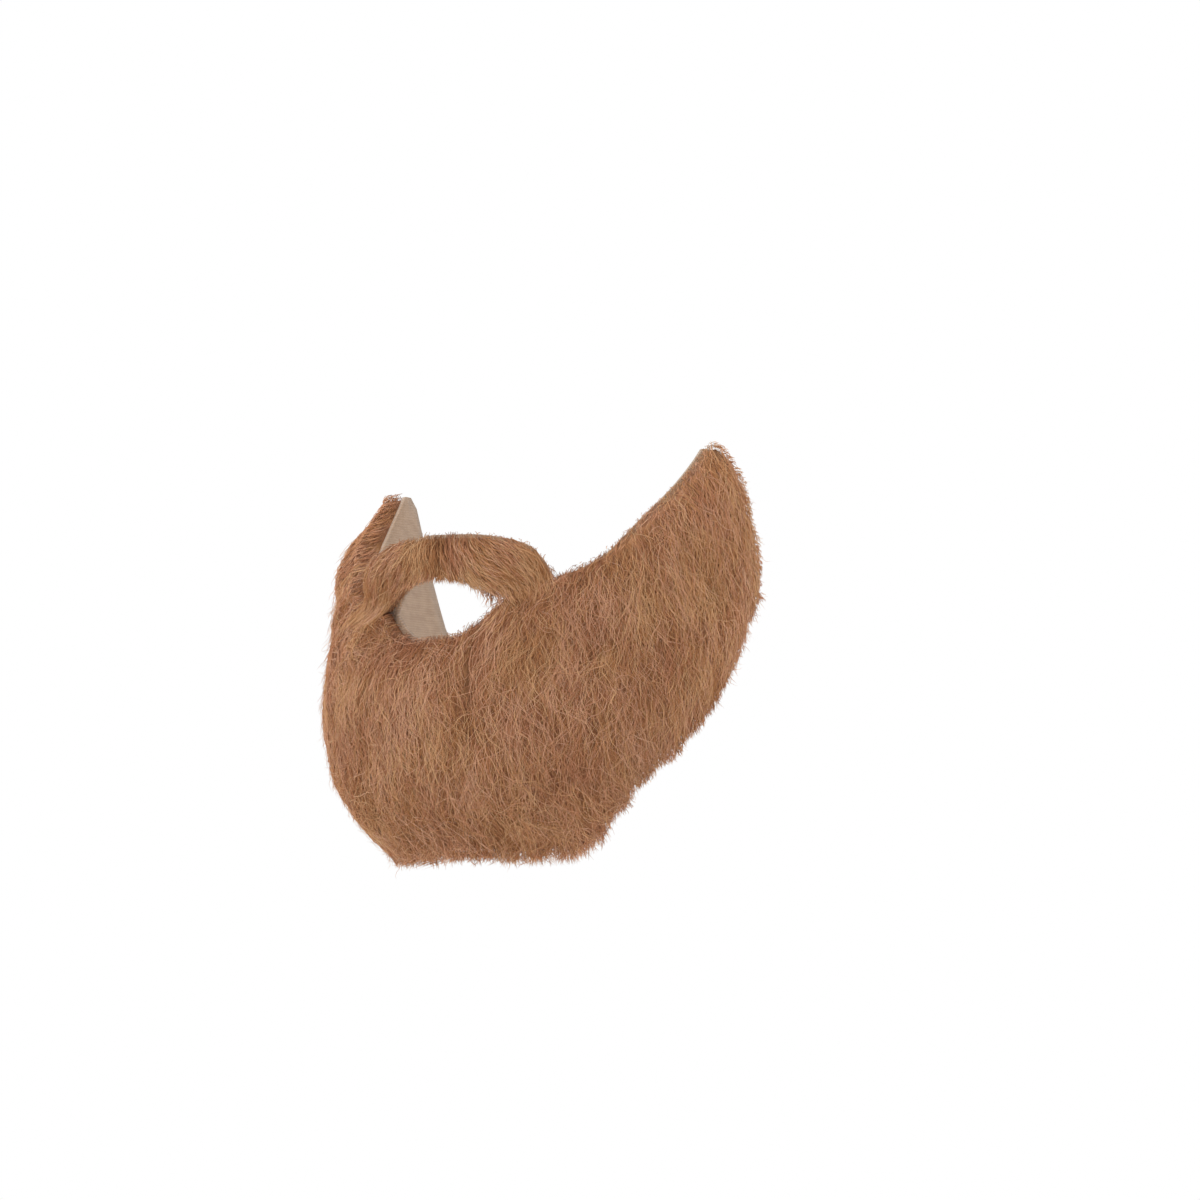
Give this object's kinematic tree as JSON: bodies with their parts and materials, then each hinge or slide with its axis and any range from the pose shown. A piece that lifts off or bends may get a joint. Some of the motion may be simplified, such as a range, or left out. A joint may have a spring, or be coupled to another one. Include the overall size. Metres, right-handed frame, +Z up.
{
  "type": "fake beard with moustache",
  "caption": "Full ginger-brown false beard with a joined moustache: deep crimped pile on shaped cloth, from sideburn tips over cheeks and jaw to a rounded hem below the chin.",
  "frame": {"origin": "the chin seat: the middle of the cloth's inner face, where the front of the wearer's chin rests", "axes": "+Z up as worn with the head tipped a little back, -Y forward from the wearer's face, +X to the wearer's left"},
  "size_m": [0.1672, 0.1162, 0.1435],
  "materials": {
    "tan_cloth": "matt knit",
    "lip_cloth": "matt knit",
    "ginger_hair": "soft crimped pile",
    "moustache_ginger_hair": "soft crimped pile"
  },
  "bodies": {
    "root": {"beard_backing": "tan_cloth", "beard_hair": "ginger_hair", "moustache_backing": "lip_cloth", "moustache_hair": "moustache_ginger_hair"}
  },
  "joints": []
}
